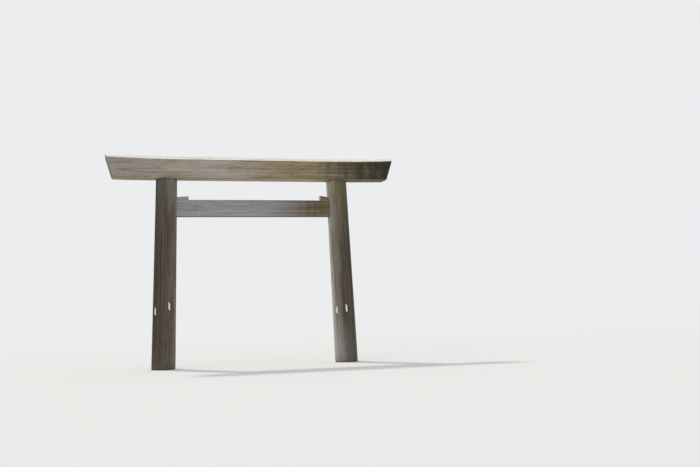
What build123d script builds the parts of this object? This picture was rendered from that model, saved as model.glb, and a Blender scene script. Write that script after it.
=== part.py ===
from build123d import *
import math
import os

# A plain timber shrine gate: two round leaning posts, a five-sided lintel on top of them,
# a tie beam let into them and held down by a wedge at each end, and folded paper
# streamers that hang from pegs in the posts. Millimetres, X along the gate, Y through it,
# Z up from the ground, origin on the ground midway between the posts.

# Posts
post_spacing = 5870.0
post_foot_diameter = 738.0
post_top_diameter = 658.0
post_lean = 1.74
post_head_break = 14.0

# Lintel
seat_height = 5908.0
lintel_bottom_width = 560.0
lintel_eave_width = 760.0
lintel_face_height = 585.0
lintel_roof_rise = 153.0
lintel_overhang = 1878.0
lintel_end_rake = 16.0
underside_straight_overhang = 345.0
top_curve_inside_post = 560.0
ridge_end_lift = 32.0
eave_end_lift = 62.0
underside_end_lift = 22.0
lintel_arris = 10.0

# Stub tenon on each post, under the lintel
stub_width = 220.0
stub_height = 160.0
stub_side_clearance = 1.0
stub_top_clearance = 12.0

# Tie beam
beam_gap_below_lintel = 650.0
beam_height = 530.0
beam_thickness = 280.0
beam_arris = 8.0
beam_stop_before_axis = 50.0
beam_side_clearance = 1.0
beam_end_clearance = 6.0

# Wedges, thick end towards the middle of the gate
wedge_width = 240.0
wedge_inside_length = 280.0
wedge_clearance = 0.3
wedge_arris = 4.0
left_wedge_outside_length = 347.0
left_wedge_thick_end = 112.0
left_wedge_thin_end = 64.0
right_wedge_outside_length = 262.0
right_wedge_thick_end = 150.0
right_wedge_thin_end = 48.0

# Square pegs in the posts
peg_width = 12.0
peg_depth = 60.0
peg_outside_length = 34.0
peg_point_length = 16.0
peg_point_width = 6.0
peg_head_width = 20.0
peg_head_length = 6.0
peg_clearance = 0.3

# Cord wound round each peg
cord_diameter = 5.0
cord_turns = 2
cord_rounding = 1.2

# Folded paper streamers
paper_thickness = 1.5
paper_standoff = 14.0
panel_width = 46.0
panel_height = 66.0
panel_overlap = 10.0
panel_shift = 12.0
panel_count = 4
slot_below_top = 16.0

# Where each streamer hangs: degrees round the post from the front towards the passage,
# and the height of its peg. The back of each post carries the same pair.
streamer_places = {
    "left": {"inner": (17.0, 2040.0), "outer": (-54.0, 1900.0)},
    "right": {"inner": (50.0, 1790.0), "outer": (0.0, 1840.0)},
}

sides = {"left": -1, "right": 1}
faces = {"front": -1, "back": 1}

ridge_height = seat_height + lintel_face_height + lintel_roof_rise
eave_height = seat_height + lintel_face_height
beam_top_height = seat_height - beam_gap_below_lintel
beam_bottom_height = beam_top_height - beam_height
cut_margin = 200.0


def axis_offset(height):
    """Distance from the middle of the gate to a post's axis at a height."""
    return post_spacing / 2 - height * math.tan(math.radians(post_lean))


def post_radius(height):
    """Radius of a post at a height above the ground."""
    share = height / seat_height
    diameter = post_foot_diameter + (post_top_diameter - post_foot_diameter) * share
    return diameter / 2


def leaning_round(side):
    """A post's tapered round timber, longer than the post at both ends."""
    low = -cut_margin
    high = seat_height + cut_margin
    length = (high - low) / math.cos(math.radians(post_lean))
    timber = Cone(
        post_radius(low),
        post_radius(high),
        length,
        align=(Align.CENTER, Align.CENTER, Align.MIN),
    )
    return Pos(side * axis_offset(low), 0, low) * Rot(0, -side * post_lean, 0) * timber


def block(low, high):
    """A box between two corners."""
    size = [high[i] - low[i] for i in range(3)]
    centre = [(high[i] + low[i]) / 2 for i in range(3)]
    return Pos(*centre) * Box(*size)


def side_block(side, near, far, half_width, bottom, top):
    """A box on one side of the gate, from one distance to another from the middle."""
    low_x = min(side * near, side * far)
    high_x = max(side * near, side * far)
    return block((low_x, -half_width, bottom), (high_x, half_width, top))


def beam_end():
    """Distance from the middle of the gate to the end of the tie beam."""
    middle_height = beam_bottom_height + beam_height / 2
    return axis_offset(middle_height) - beam_stop_before_axis


def inner_face(height):
    """Distance from the middle of the gate to a post's nearest side at a height."""
    return axis_offset(height) - post_radius(height)


def wedge_sizes(name):
    """Outside length, thick end and thin end of one wedge."""
    if name == "left":
        return left_wedge_outside_length, left_wedge_thick_end, left_wedge_thin_end
    return right_wedge_outside_length, right_wedge_thick_end, right_wedge_thin_end


def wedge_prism(name, growth=0.0, reach=0.0):
    """A wedge lying on the tie beam, or the space that it needs."""
    side = sides[name]
    outside, thick_end, thin_end = wedge_sizes(name)
    face = inner_face(beam_top_height)
    near = face - outside
    far = face + wedge_inside_length
    slope = (thin_end - thick_end) / (far - near)
    base = beam_top_height
    far_x = far + reach
    far_top = base + thin_end + slope * reach + growth
    outline = [(near, base), (far_x, base), (far_x, far_top), (near, base + thick_end + growth)]
    corners = [(side * x, z) for x, z in outline]
    section = Plane.XZ * make_face(Polyline(corners, close=True))
    return extrude(section, amount=wedge_width / 2 + growth, both=True)


def peg_place(side_name, face_name, spot):
    """Where a peg leaves its post: local Z points out of the post and local Y points up."""
    side = sides[side_name]
    angle, height = streamer_places[side_name][spot]
    turn = math.radians(angle)
    out_x = -side * math.sin(turn)
    out_y = faces[face_name] * math.cos(turn)
    radius = post_radius(height)
    centre_x = side * axis_offset(height)
    surface = (centre_x + out_x * radius, out_y * radius, height)
    return Plane(origin=surface, x_dir=(-out_y, out_x, 0), z_dir=(out_x, out_y, 0))


def peg_hole(place):
    """The square hole that a peg is driven into."""
    width = peg_width + 2 * peg_clearance
    depth = peg_depth + peg_clearance
    return place * Box(width, width, 2 * depth)


def post(side_name):
    """One post with its stub tenon, its blind mortise and its peg holes."""
    side = sides[side_name]
    timber = leaning_round(side)
    reach = post_spacing
    slice_box = block((-reach, -reach, 0), (reach, reach, seat_height))
    body = timber & slice_box
    body = chamfer(body.edges().group_by(Axis.Z)[-1], post_head_break)

    top_x = side * axis_offset(seat_height)
    stub = Pos(top_x, 0, seat_height + stub_height / 2) * Box(stub_width, stub_width, stub_height)
    body = body + stub

    mortise = side_block(
        side,
        inner_face(beam_bottom_height) - cut_margin,
        beam_end() + beam_end_clearance,
        beam_thickness / 2 + beam_side_clearance,
        beam_bottom_height,
        beam_top_height,
    )
    body = body - mortise - wedge_prism(side_name, wedge_clearance, beam_end_clearance)

    for face_name in faces:
        for spot in streamer_places[side_name]:
            body = body - peg_hole(peg_place(side_name, face_name, spot))
    return body


def lintel_half_length():
    """Distance from the middle of the gate to the tip of the ridge."""
    return axis_offset(seat_height) + lintel_overhang


def underside_lift_start():
    """Distance from the middle of the gate to where the underside starts to curve up."""
    return axis_offset(seat_height) + underside_straight_overhang


def top_lift_start():
    """Distance from the middle of the gate to where the eave and ridge start to curve up."""
    return axis_offset(seat_height) - top_curve_inside_post


def far_height(height, end_lift, start, reach):
    """Height of a line at a distance from the middle, past where it starts to curve up."""
    run = lintel_half_length() - start
    radius = (run**2 + end_lift**2) / (2 * end_lift)
    return height + radius - math.sqrt(radius**2 - (reach - start) ** 2)


def lifted_line(height, end_lift, start, reach):
    """A long level line at a height that curves up towards both ends."""
    far = far_height(height, end_lift, start, reach)
    middle = Line((-start, height), (start, height))
    right = TangentArc((start, height), (reach, far), tangent=(1, 0))
    left = TangentArc((-start, height), (-reach, far), tangent=(-1, 0))
    return left, middle, right


def lintel_profile(y, top_height, top_lift):
    """Front elevation of the lintel at one depth, before its ends are cut."""
    reach = lintel_half_length() + cut_margin
    bottom = lifted_line(seat_height, underside_end_lift, underside_lift_start(), reach)
    top = lifted_line(top_height, top_lift, top_lift_start(), reach)
    low = far_height(seat_height, underside_end_lift, underside_lift_start(), reach)
    high = far_height(top_height, top_lift, top_lift_start(), reach)
    right_end = Line((reach, low), (reach, high))
    left_end = Line((-reach, low), (-reach, high))
    outline = Curve() + [*bottom, right_end, *top, left_end]
    return Plane(origin=(0, y, 0), x_dir=(1, 0, 0), z_dir=(0, -1, 0)) * make_face(outline)


def lintel():
    """The five-sided lintel, with raised ends that are cut on the slant."""
    eave_half = lintel_eave_width / 2
    bottom_half = lintel_bottom_width / 2
    outer = eave_half + cut_margin
    fall = (ridge_height - eave_height) / eave_half
    lift_fall = (ridge_end_lift - eave_end_lift) / eave_half
    outer_height = ridge_height - fall * outer
    outer_lift = ridge_end_lift - lift_fall * outer
    stations = [
        lintel_profile(-outer, outer_height, outer_lift),
        lintel_profile(0, ridge_height, ridge_end_lift),
        lintel_profile(outer, outer_height, outer_lift),
    ]
    blank = loft(stations, ruled=True)

    flare = (eave_half - bottom_half) / lintel_face_height
    low = seat_height - cut_margin
    high = ridge_height + cut_margin
    low_half = bottom_half - flare * cut_margin
    high_half = bottom_half + flare * (high - seat_height)
    section = [(-low_half, low), (low_half, low), (high_half, high), (-high_half, high)]
    sides_cut = extrude(
        Plane.YZ * make_face(Polyline(section, close=True)),
        amount=lintel_half_length() + 2 * cut_margin,
        both=True,
    )

    rake = math.tan(math.radians(lintel_end_rake))
    ridge_end = ridge_height + ridge_end_lift
    low_x = lintel_half_length() - rake * (ridge_end - low)
    high_x = lintel_half_length() + rake * (high - ridge_end)
    elevation = [(-low_x, low), (low_x, low), (high_x, high), (-high_x, high)]
    ends_cut = extrude(
        Plane.XZ * make_face(Polyline(elevation, close=True)), amount=outer, both=True
    )
    body = blank & sides_cut & ends_cut

    def is_corner(edge):
        """True for an edge that isn't the smooth line where a curve starts."""
        reach = abs(edge.center().X)
        starts = (underside_lift_start(), top_lift_start())
        return all(abs(reach - start) > lintel_arris for start in starts)

    body = chamfer(body.edges().filter_by(is_corner), lintel_arris)

    hole_width = stub_width + 2 * stub_side_clearance
    hole_height = stub_height + stub_top_clearance
    for side in sides.values():
        hole = Box(hole_width, hole_width, 2 * hole_height)
        body = body - Pos(side * axis_offset(seat_height), 0, seat_height) * hole
    return body


def tie_beam():
    """The tie beam, which stops inside both posts."""
    end = beam_end()
    half = beam_thickness / 2
    beam = block((-end, -half, beam_bottom_height), (end, half, beam_top_height))
    return chamfer(beam.edges().filter_by(Axis.X), beam_arris)


def wedge(name):
    """One wedge, driven in over the tie beam."""
    body = wedge_prism(name)
    butt = body.faces().sort_by(Axis.X)[-1 if name == "left" else 0]
    return chamfer(butt.edges(), wedge_arris)


def peg(place):
    """A square peg with a tapered point and a small head."""
    straight = peg_depth - peg_point_length + peg_outside_length
    shank = Pos(0, 0, peg_outside_length - straight / 2) * Box(peg_width, peg_width, straight)
    root = Plane((0, 0, peg_point_length - peg_depth)) * Rectangle(peg_width, peg_width)
    tip = Plane((0, 0, -peg_depth)) * Rectangle(peg_point_width, peg_point_width)
    head = Pos(0, 0, peg_outside_length + peg_head_length / 2)
    head = head * Box(peg_head_width, peg_head_width, peg_head_length)
    return place * (shank + loft([root, tip], ruled=True) + head)


def cord(place):
    """The turns of cord round the peg, between the paper and the head."""
    inner = peg_width + 2 * peg_clearance
    outer = inner + 2 * cord_diameter
    length = cord_turns * cord_diameter
    start = paper_standoff + 2 * paper_thickness + peg_clearance
    winding = Box(outer, outer, length)
    winding = chamfer(winding.edges(), cord_rounding)
    winding = winding - Box(inner, inner, 2 * length)
    return place * Pos(0, 0, start + length / 2) * winding


def streamer(place):
    """A strip of paper folded to and fro, hung on the peg by a slot near its top."""
    drop = panel_height - panel_overlap
    strip = None
    for number in range(panel_count):
        layer = number % 2
        shift = panel_shift if layer else -panel_shift
        centre = slot_below_top - panel_height / 2 - number * drop
        panel = Pos(shift / 2, centre, paper_standoff + (layer + 0.5) * paper_thickness)
        panel = panel * Box(panel_width, panel_height, paper_thickness)
        strip = panel if strip is None else strip + panel
    slot_width = peg_width + 2 * peg_clearance
    return place * (strip - Box(slot_width, slot_width, 2 * peg_outside_length))


def all_parts():
    """Every node of the gate by name."""
    parts = {"lintel": lintel(), "tie_beam": tie_beam()}
    for side_name in sides:
        parts[f"post_{side_name}"] = post(side_name)
        parts[f"wedge_{side_name}"] = wedge(side_name)
        for face_name in faces:
            for spot in streamer_places[side_name]:
                place = peg_place(side_name, face_name, spot)
                ending = f"{side_name}_{face_name}_{spot}"
                parts[f"peg_{ending}"] = peg(place)
                parts[f"cord_{ending}"] = cord(place)
                parts[f"streamer_{ending}"] = streamer(place)
    return parts


os.makedirs("parts", exist_ok=True)
for node, solid in all_parts().items():
    export_step(solid, f"parts/{node}.step")
    print(node, round(solid.volume / 1e9, 6), "m3")
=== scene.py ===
import math
from collections import namedtuple

import bpy
from bpy.props import FloatProperty, FloatVectorProperty, IntProperty, PointerProperty
from mathutils import Matrix, Vector, noise


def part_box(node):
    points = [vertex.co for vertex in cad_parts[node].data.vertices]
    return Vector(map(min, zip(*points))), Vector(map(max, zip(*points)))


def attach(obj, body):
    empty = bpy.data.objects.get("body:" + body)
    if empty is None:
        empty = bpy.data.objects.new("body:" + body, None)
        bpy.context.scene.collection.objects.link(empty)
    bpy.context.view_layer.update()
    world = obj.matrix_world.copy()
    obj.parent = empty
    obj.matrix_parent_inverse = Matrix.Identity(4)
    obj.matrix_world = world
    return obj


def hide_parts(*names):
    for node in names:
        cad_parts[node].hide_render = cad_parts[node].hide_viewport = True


bl_info = {
    "name": "Timber shrine gate",
    "version": (1, 0, 0),
    "blender": (4, 5, 0),
    "location": "3D View > Sidebar > Gate",
    "description": "Dresses the packed gate in weathered timber, cord and folded paper",
    "category": "Object",
}

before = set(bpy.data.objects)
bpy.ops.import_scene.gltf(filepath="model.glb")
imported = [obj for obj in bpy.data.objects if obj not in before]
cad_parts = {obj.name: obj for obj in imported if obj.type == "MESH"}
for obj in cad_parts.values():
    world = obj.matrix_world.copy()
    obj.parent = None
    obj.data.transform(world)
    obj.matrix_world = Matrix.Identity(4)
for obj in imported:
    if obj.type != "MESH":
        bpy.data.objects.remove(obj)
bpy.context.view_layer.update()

SIDES = {"left": -1, "right": 1}
FACES = ("front", "back")
SPOTS = ("inner", "outer")


# Sizes read from the frame

ALONG_AXIS = 0
UP_AXIS = 2
SAME_PLACE = 0.001


def vertices_at(node, axis, place):
    """The points of a node's mesh that lie at a place along an axis."""
    points = [vertex.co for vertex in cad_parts[node].data.vertices]
    return [point for point in points if abs(point[axis] - place) < SAME_PLACE]


def outline_at(node, height):
    """Middle along the gate, and half width through it, of a node's outline at a height."""
    points = vertices_at(node, UP_AXIS, height)
    middle = (min(p.x for p in points) + max(p.x for p in points)) / 2
    return middle, max(p.y for p in points)


BEAM_LOW, BEAM_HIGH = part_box("tie_beam")
LINTEL_LOW, LINTEL_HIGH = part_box("lintel")
SEAT_HEIGHT = LINTEL_LOW.z

# The edge taken off round a post's head, the one size here that isn't read from the frame
HEAD_BREAK = 0.014
BREAK_HEIGHT = SEAT_HEIGHT - HEAD_BREAK
FOOT_PLACE, FOOT_RADIUS = outline_at("post_right", 0.0)
HEAD_PLACE, HEAD_RADIUS = outline_at("post_right", BREAK_HEIGHT)


def post_axis(height):
    """Distance from the middle of the gate to a post's axis at a height."""
    share = height / BREAK_HEIGHT
    return FOOT_PLACE + (HEAD_PLACE - FOOT_PLACE) * share


def post_radius(height):
    """Radius of a post at a height."""
    share = height / BREAK_HEIGHT
    return FOOT_RADIUS + (HEAD_RADIUS - FOOT_RADIUS) * share


# Settings that a user would change

def linear(value):
    """One screen value from 0 to 1 as a linear one."""
    if value <= 0.04045:
        return value / 12.92
    return ((value + 0.055) / 1.055) ** 2.4


def tone(red, green, blue):
    """A colour given as screen values from 0 to 255, as Blender's linear values."""
    return tuple(linear(value / 255) for value in (red, green, blue))


def colour(name, description, red, green, blue):
    """A colour setting whose default is given in screen values."""
    return FloatVectorProperty(
        name=name,
        description=description,
        subtype="COLOR",
        size=3,
        min=0.0,
        max=1.0,
        default=tone(red, green, blue),
    )


def length(name, description, default):
    """A length setting in metres."""
    return FloatProperty(
        name=name, description=description, default=default, min=0.0, unit="LENGTH"
    )


def angle(name, description, degrees):
    """An angle setting whose default is given in degrees."""
    return FloatProperty(
        name=name, description=description, default=math.radians(degrees), subtype="ANGLE"
    )


def strength(name, description, default):
    """The strength of a light."""
    return FloatProperty(name=name, description=description, default=default)


def count(name, description, default, least):
    """A number of things."""
    return IntProperty(name=name, description=description, default=default, min=least)


class TimberLook(bpy.types.PropertyGroup):
    """Colours and weathering of the bare timber."""

    dark: colour("Dark grain", "The darker bands of the grain", 82, 72, 54)
    pale: colour("Pale grain", "The paler bands of the grain", 142, 129, 103)
    grey: colour("Weathered grey", "Where rain and light have greyed the face", 147, 141, 133)
    bleach: colour("Bleached", "What faces the sky", 214, 211, 203)
    shelter: colour("Sheltered", "What faces the ground and stays dry", 157, 139, 112)
    stain: colour("Rain stain", "Dark streaks that rain leaves", 46, 44, 35)
    growth: colour("Growth", "Thin green growth on damp timber", 82, 85, 52)
    heart: colour("End grain", "Cut ends across the grain", 96, 82, 62)


class PostSizes(bpy.types.PropertyGroup):
    """Colours and surface detail of the two round posts."""

    dark: colour("Dark grain", "The darker bands of the posts' grain", 84, 73, 61)
    pale: colour("Pale grain", "The paler bands of the posts' grain", 143, 128, 110)
    grey: colour("Weathered grey", "Where the posts have greyed", 146, 142, 136)
    checks: count("Checks", "Drying checks in each post", 20, 0)
    check_width: length("Check width", "Width of the widest check", 0.012)
    check_depth: length("Check depth", "Depth of the deepest check", 0.022)
    spacing: length("Spacing", "Distance between points round a post", 0.020)
    rows: count("Rows", "Rings of points up a post", 130, 8)


class LintelSizes(bpy.types.PropertyGroup):
    """Form and surface detail of the lintel."""

    bottom_width: length("Bottom width", "Width of the underside", 0.560)
    eave_width: length("Eave width", "Width where the roof-shaped top starts", 0.760)
    face_height: length("Face height", "Height of the side faces", 0.585)
    roof_rise: length("Roof rise", "Rise from the eave to the ridge", 0.153)
    overhang: length("Overhang", "From a post's axis to the tip of the ridge", 1.878)
    straight_overhang: length("Straight underside", "From a post's axis out to its curve", 0.345)
    curve_inside: length("Curved top", "From a post's axis in to the start of the curve", 0.560)
    underside_lift: length("Underside lift", "How far each end of the underside rises", 0.022)
    eave_lift: length("Eave lift", "How far each end of the eave rises", 0.062)
    ridge_lift: length("Ridge lift", "How far each end of the ridge rises", 0.032)
    end_rake: angle("End rake", "Slant of the cut ends from upright", 16)
    arris: length("Arris", "Width taken off each corner", 0.010)
    rows: count("Rows", "Sections along the lintel", 150, 8)
    spacing: length("Spacing", "Distance between points round the lintel", 0.032)


class BeamSizes(bpy.types.PropertyGroup):
    """Colours and surface detail of the tie beam and the wedges."""

    # A cool grey: greyed timber, with a painted blue tint of skylit shade
    grey: colour("Weathered grey", "Where the beam and the wedges have greyed", 147, 145, 150)
    shelter: colour("Sheltered", "Underside of the beam", 104, 92, 76)
    arris: length("Arris", "Width taken off each corner of the beam", 0.008)
    wedge_arris: length("Wedge arris", "Width worn off each corner of a wedge", 0.004)
    rows: count("Rows", "Sections along the beam", 110, 8)
    spacing: length("Spacing", "Distance between points round the beam", 0.022)


class PaperSizes(bpy.types.PropertyGroup):
    """Colours and sizes of the pegs, their cord and the folded paper streamers."""

    white: colour("Paper", "Colour of the paper", 236, 235, 229)
    straw: colour("Cord", "Colour of the twisted cord", 190, 170, 122)
    peg_width: length("Peg width", "Width of a square peg", 0.012)
    cord_diameter: length("Cord diameter", "Diameter of the cord", 0.0046)
    cord_start: length("Cord start", "From the post to the first turn of the cord", 0.0174)
    strip_width: length("Strip width", "Width of the paper strip", 0.046)
    panel_length: length("Panel length", "Length of each panel of the strip", 0.066)
    fold_overlap: length("Fold overlap", "How far a panel is folded back under the next", 0.010)
    panel_shift: length("Panel shift", "Sideways step from one panel to the next", 0.012)
    slot_below_top: length("Slot below top", "From the strip's top to its slot's middle", 0.016)
    thickness: length("Thickness", "Thickness of the paper", 0.0003)


class StageLook(bpy.types.PropertyGroup):
    """Camera, floor and light."""

    camera_place: FloatVectorProperty(
        name="Camera place",
        description="Where the camera stands",
        subtype="TRANSLATION",
        unit="LENGTH",
        default=(-5.826, -30.584, 1.45),
    )
    camera_turn: angle("Camera turn", "Turn of the view from straight through the gate", 16.411)
    camera_lift: angle("Camera lift", "Angle of the view above level", 4.889)
    camera_roll: angle("Camera roll", "Roll of the camera about its view", -1.740)
    lens: FloatProperty(
        name="Lens", description="Focal length", default=50.0, min=1.0, unit="CAMERA"
    )
    floor: colour("Floor", "Colour of the floor", 206, 206, 205)
    background: colour("Background", "Colour behind the gate", 236, 237, 238)
    sky_strength: strength("Sky", "Strength of the even light", 0.78)
    sun_strength: strength("Sun", "Strength of the light from behind", 1.9)
    fill_strength: strength("Fill", "Strength of the light from in front", 0.75)


class GateSettings(bpy.types.PropertyGroup):
    """All settings of the gate."""

    timber: PointerProperty(type=TimberLook)
    post: PointerProperty(type=PostSizes)
    lintel: PointerProperty(type=LintelSizes)
    beam: PointerProperty(type=BeamSizes)
    paper: PointerProperty(type=PaperSizes)
    stage: PointerProperty(type=StageLook)


# Node trees

# The Mix node's sockets for colours, as those for other kinds of value have the same names
MIX_SHARE = 0
MIX_FIRST = 6
MIX_SECOND = 7
MIX_RESULT = 2


class Bench:
    """Adds nodes to one node tree."""

    def __init__(self, tree):
        self.tree = tree

    def node(self, kind, sockets=None, **options):
        """Adds a node, sets its options, and sets or links its input sockets."""
        made = self.tree.nodes.new(kind)
        for key, value in options.items():
            setattr(made, key, value)
        for key, value in (sockets or {}).items():
            self.feed(made.inputs[key], value)
        return made

    def feed(self, socket, value):
        """Links an output to a socket, or sets the socket's own value."""
        if isinstance(value, bpy.types.NodeSocket):
            self.tree.links.new(value, socket)
        else:
            socket.default_value = value

    def math(self, operation, *values, clamp=False):
        """A math node's result, where each value after the second takes one node more."""
        options = {"operation": operation, "use_clamp": clamp}
        result = self.node("ShaderNodeMath", dict(enumerate(values[:2])), **options).outputs[0]
        for value in values[2:]:
            result = self.math(operation, result, value, clamp=clamp)
        return result

    def plus(self, *values):
        """The sum of two values or more."""
        return self.math("ADD", *values)

    def minus(self, *values):
        """The first value less the ones after it."""
        return self.math("SUBTRACT", *values)

    def times(self, *values):
        """The product of two values or more."""
        return self.math("MULTIPLY", *values)

    def share(self, value, amount):
        """A value at part of its strength, kept from 0 to 1."""
        return self.math("MULTIPLY", value, amount, clamp=True)

    def inverse(self, value):
        """What a value leaves of 1."""
        return self.minus(1.0, value)

    def off_middle(self, value):
        """How far a noise's value is from its middle one."""
        return self.math("ABSOLUTE", self.minus(value, 0.5))

    def spread(self, value, low, high):
        """A value mapped smoothly so that low gives 0 and high gives 1, and no further."""
        sockets = {"Value": value, "From Min": low, "From Max": high}
        made = self.node("ShaderNodeMapRange", sockets, interpolation_type="SMOOTHSTEP")
        return made.outputs["Result"]

    def fade(self, value, low, high):
        """A value mapped smoothly so that low gives 1 and high gives 0, and no further."""
        return self.inverse(self.spread(value, low, high))

    def vector(self, operation, first, second):
        """A vector math node's result."""
        made = self.node("ShaderNodeVectorMath", {0: first, 1: second}, operation=operation)
        return made.outputs[0]

    def scaled(self, place, scale):
        """A place with each of its parts multiplied."""
        return self.vector("MULTIPLY", place, scale)

    def distance(self, place):
        """How far a place is from the origin."""
        return self.node("ShaderNodeVectorMath", {0: place}, operation="LENGTH").outputs["Value"]

    def parts(self, place):
        """The X, Y and Z of a place."""
        return self.node("ShaderNodeSeparateXYZ", {0: place}).outputs

    def object_place(self):
        """The place of a point in the gate's own axes."""
        return self.node("ShaderNodeTexCoord").outputs["Object"]

    def carried(self, name, output="Fac"):
        """A value that the mesh carries at its points."""
        return self.node("ShaderNodeAttribute", attribute_name=name).outputs[output]

    def cloud(self, place, scale, detail=4.0, roughness=0.55):
        """A noise texture's value, its scale given as one number or as one for each axis."""
        if isinstance(scale, tuple):
            place = self.scaled(place, scale)
            scale = 1.0
        sockets = {"Vector": place, "Scale": scale, "Detail": detail, "Roughness": roughness}
        return self.node("ShaderNodeTexNoise", sockets).outputs["Fac"]

    def line_noise(self, distance, scale, detail):
        """A noise texture's value along a line."""
        sockets = {"W": distance, "Scale": scale, "Detail": detail}
        return self.node("ShaderNodeTexNoise", sockets, noise_dimensions="1D").outputs["Fac"]

    def mix(self, share, first, second):
        """Two colours mixed by a share."""
        sockets = {MIX_SHARE: share, MIX_FIRST: first, MIX_SECOND: second}
        return self.node("ShaderNodeMix", sockets, data_type="RGBA").outputs[MIX_RESULT]

    def bump(self, height, distance, amount):
        """A normal that follows the height of a surface."""
        sockets = {"Height": height, "Distance": distance, "Strength": amount}
        return self.node("ShaderNodeBump", sockets).outputs[0]


def new_group(name, inputs, outputs):
    """A shader node group with named sockets: its bench, and the values that come into it."""
    tree = bpy.data.node_groups.new(name, "ShaderNodeTree")
    kinds = {"float": "NodeSocketFloat", "colour": "NodeSocketColor", "vector": "NodeSocketVector"}
    for in_out, sockets in (("INPUT", inputs), ("OUTPUT", outputs)):
        for label, kind in sockets.items():
            tree.interface.new_socket(name=label, in_out=in_out, socket_type=kinds[kind])
    bench = Bench(tree)
    return bench, bench.node("NodeGroupInput").outputs


def close_group(bench, results):
    """Gives a group's results out by name, and returns its finished tree."""
    bench.node("NodeGroupOutput", results)
    return bench.tree


def values(*names):
    """Sockets for plain values, by name."""
    return {name: "float" for name in names}


def shared_group(name):
    """The node group of that name, built the first time that it is asked for."""
    return bpy.data.node_groups.get(name) or GROUP_MAKERS[name]()


def use_group(bench, name, sockets):
    """Places a node group in a tree and gives its outputs."""
    return bench.node("ShaderNodeGroup", sockets, node_tree=shared_group(name)).outputs


# How fine a pattern is, in spots to a metre of timber: across the grain both ways, then along it
FIBRE_SCALE = (170.0, 170.0, 7.0)
DRIFT_SCALE = (1.1, 1.1, 0.32)
BAND_SCALE = (17.0, 17.0, 0.30)
PATCH_SCALE = (2.8, 2.8, 0.50)
CRACK_PLACES_ALONG = 1.1

# The same for patterns that keep to the gate's own axes: along it, through it, then up it
RUN_SCALE = (5.5, 5.5, 0.22)
FRAY_SCALE = (38.0, 38.0, 1.6)
DAMP_SCALE = (9.0, 9.0, 1.6)

# Spots to a metre from the heart, radians of a wave to that metre, and spots to a radian round it
FIGURE_SCALE = 300.0
WIDE_RING_SCALE = 70.0
NARROW_RING_RADIANS = 1100.0
RAY_SCALE = 2.6

# What the place in a timber is multiplied by to leave out the place along it
FLAT = (1.0, 1.0, 0.0)

# How far the heart of a timber wanders sideways, as its rings show on its faces
DRIFT_REACH = (0.34, 0.34, 0.0)


def make_fibre_grain():
    """Fibres, growth figure, hair cracks and broad patches that run along a timber's own Z."""
    outputs = values("Fibre", "Figure", "Crack", "Band", "Patch")
    bench, given = new_group("fibre_grain", {"Place": "vector"}, outputs)
    place = given["Place"]
    slow = {"Vector": bench.scaled(place, DRIFT_SCALE), "Scale": 1.0, "Detail": 3.0}
    drift = bench.node("ShaderNodeTexNoise", slow).outputs["Color"]
    drift = bench.scaled(bench.vector("SUBTRACT", drift, (0.5, 0.5, 0.5)), DRIFT_REACH)
    from_heart = bench.distance(bench.vector("ADD", bench.scaled(place, FLAT), drift))

    def cracks(spacing, drawn_out, width, least):
        """Hair cracks where a noise crosses its middle value, in some places only."""
        split = bench.cloud(place, (spacing, spacing, drawn_out), detail=3.0)
        thin = bench.fade(bench.off_middle(split), 0.0, width)
        where = bench.cloud(place, (spacing / 6, spacing / 6, CRACK_PLACES_ALONG), detail=2.0)
        return bench.times(thin, bench.spread(where, least, least + 0.16))

    long_cracks = cracks(spacing=30.0, drawn_out=0.55, width=0.020, least=0.42)
    short_cracks = cracks(spacing=85.0, drawn_out=3.50, width=0.045, least=0.46)
    results = {
        "Fibre": bench.cloud(place, FIBRE_SCALE, detail=7.0, roughness=0.72),
        "Figure": bench.line_noise(from_heart, FIGURE_SCALE, detail=2.0),
        "Crack": bench.math("MAXIMUM", long_cracks, bench.times(short_cracks, 0.7)),
        "Band": bench.cloud(place, BAND_SCALE, detail=5.0, roughness=0.58),
        "Patch": bench.cloud(place, PATCH_SCALE),
    }
    return close_group(bench, results)


def make_rain_streaks():
    """Soft dark runs that rain leaves down a face, from a top edge and fading below it."""
    inputs = values("Amount", "Top", "Reach")
    bench, given = new_group("rain_streaks", inputs, values("Mask"))
    amount = given["Amount"]
    place = bench.object_place()
    below_top = bench.minus(given["Top"], bench.parts(place)["Z"])
    fallen = bench.math("DIVIDE", below_top, given["Reach"])
    runs = bench.cloud(place, RUN_SCALE, detail=5.0, roughness=0.62)
    fray = bench.cloud(place, FRAY_SCALE, detail=3.0)
    wet = bench.plus(runs, bench.times(fray, 0.22))
    wet = bench.minus(wet, bench.times(fallen, 0.16))
    wet = bench.plus(wet, bench.times(amount, 0.30))
    return close_group(bench, {"Mask": bench.share(bench.spread(wet, 0.62, 0.88), amount)})


# The side that the Sunny mask pales: sun-bleached timber, and a painted sunlit highlight on the
# posts' rims
SUNNY_SIDE = (-0.60, 0.80, 0.0)

# The upward or downward part of a normal from which it counts, and from which it counts in full
LEAST_TILT = 0.35
FULL_TILT = 0.85


def make_facing():
    """How far a surface faces the sky, the ground and, from a given turn on, the sunny side."""
    inputs = values("Break", "Sun Start")
    bench, given = new_group("facing", inputs, values("Sky", "Ground", "Sunny"))
    normal = bench.node("ShaderNodeNewGeometry").outputs["Normal"]
    upward = bench.parts(normal)["Z"]
    uneven = bench.times(bench.minus(given["Break"], 0.5), 0.5)
    both = {0: normal, 1: SUNNY_SIDE}
    turned = bench.node("ShaderNodeVectorMath", both, operation="DOT_PRODUCT").outputs["Value"]
    sunny = bench.minus(bench.plus(turned, uneven), given["Sun Start"])
    results = {
        "Sky": bench.spread(bench.plus(upward, uneven), LEAST_TILT, FULL_TILT),
        "Ground": bench.spread(bench.times(upward, -1.0), LEAST_TILT, FULL_TILT),
        "Sunny": bench.spread(sunny, 0.0, 0.45),
    }
    return close_group(bench, results)


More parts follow.
